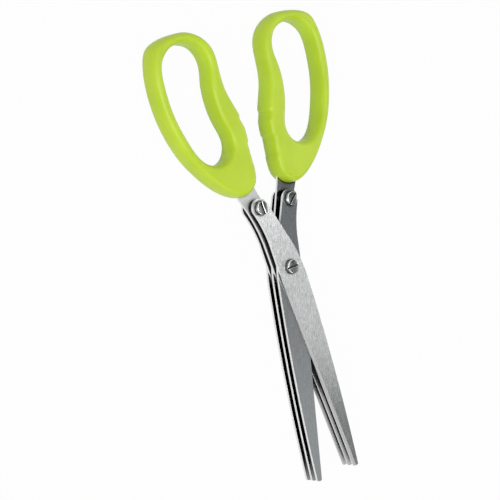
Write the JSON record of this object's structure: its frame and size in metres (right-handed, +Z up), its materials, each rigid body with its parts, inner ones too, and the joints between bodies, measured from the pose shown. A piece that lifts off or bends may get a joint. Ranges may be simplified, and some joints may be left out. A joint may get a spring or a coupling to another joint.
{
  "type": "herb scissors",
  "caption": "Herb scissors: interleaved crossing blades on one pivot, held by slotted screws, with moulded green finger-loop handles.",
  "frame": {"origin": "on the pivot axis, level with the backs of the handles, which is the plane the scissors lie on", "axes": "+X across the halves, +Y from the pivot to the finger loops, +Z up out of the table, along the pivot axis, on the side of the screw heads"},
  "size_m": [0.091, 0.1949, 0.0116],
  "materials": {
    "blade_steel": "brushed stainless steel with a ground cutting bevel",
    "screw_steel": "polished nickel-plated screws and barrel nuts",
    "spacer_steel": "plain turned steel spacers and washers",
    "handle_plastic": "smooth moulded lime green plastic with a soft gloss"
  },
  "bodies": {
    "half_a": {"blade_a_top": "blade_steel", "blade_a_middle": "blade_steel", "blade_a_bottom": "blade_steel", "handle_a": "handle_plastic", "tang_screw_a": "screw_steel", "tang_barrel_a": "screw_steel", "tang_spacer_a_1": "spacer_steel", "tang_spacer_a_2": "spacer_steel", "pivot_screw": "screw_steel", "pivot_barrel": "screw_steel", "pivot_washer_1": "spacer_steel", "pivot_washer_2": "spacer_steel"},
    "half_b": {"blade_b_top": "blade_steel", "blade_b_middle": "blade_steel", "blade_b_bottom": "blade_steel", "handle_b": "handle_plastic", "tang_screw_b": "screw_steel", "tang_barrel_b": "screw_steel", "tang_spacer_b_1": "spacer_steel", "tang_spacer_b_2": "spacer_steel"}
  },
  "joints": [
    {"name": "pivot", "type": "hinge", "parent": "half_a", "child": "half_b", "pos_m": [0, 0, 0], "axis": [0, 0, -1], "range_deg": [-11.4, 120]}
  ]
}
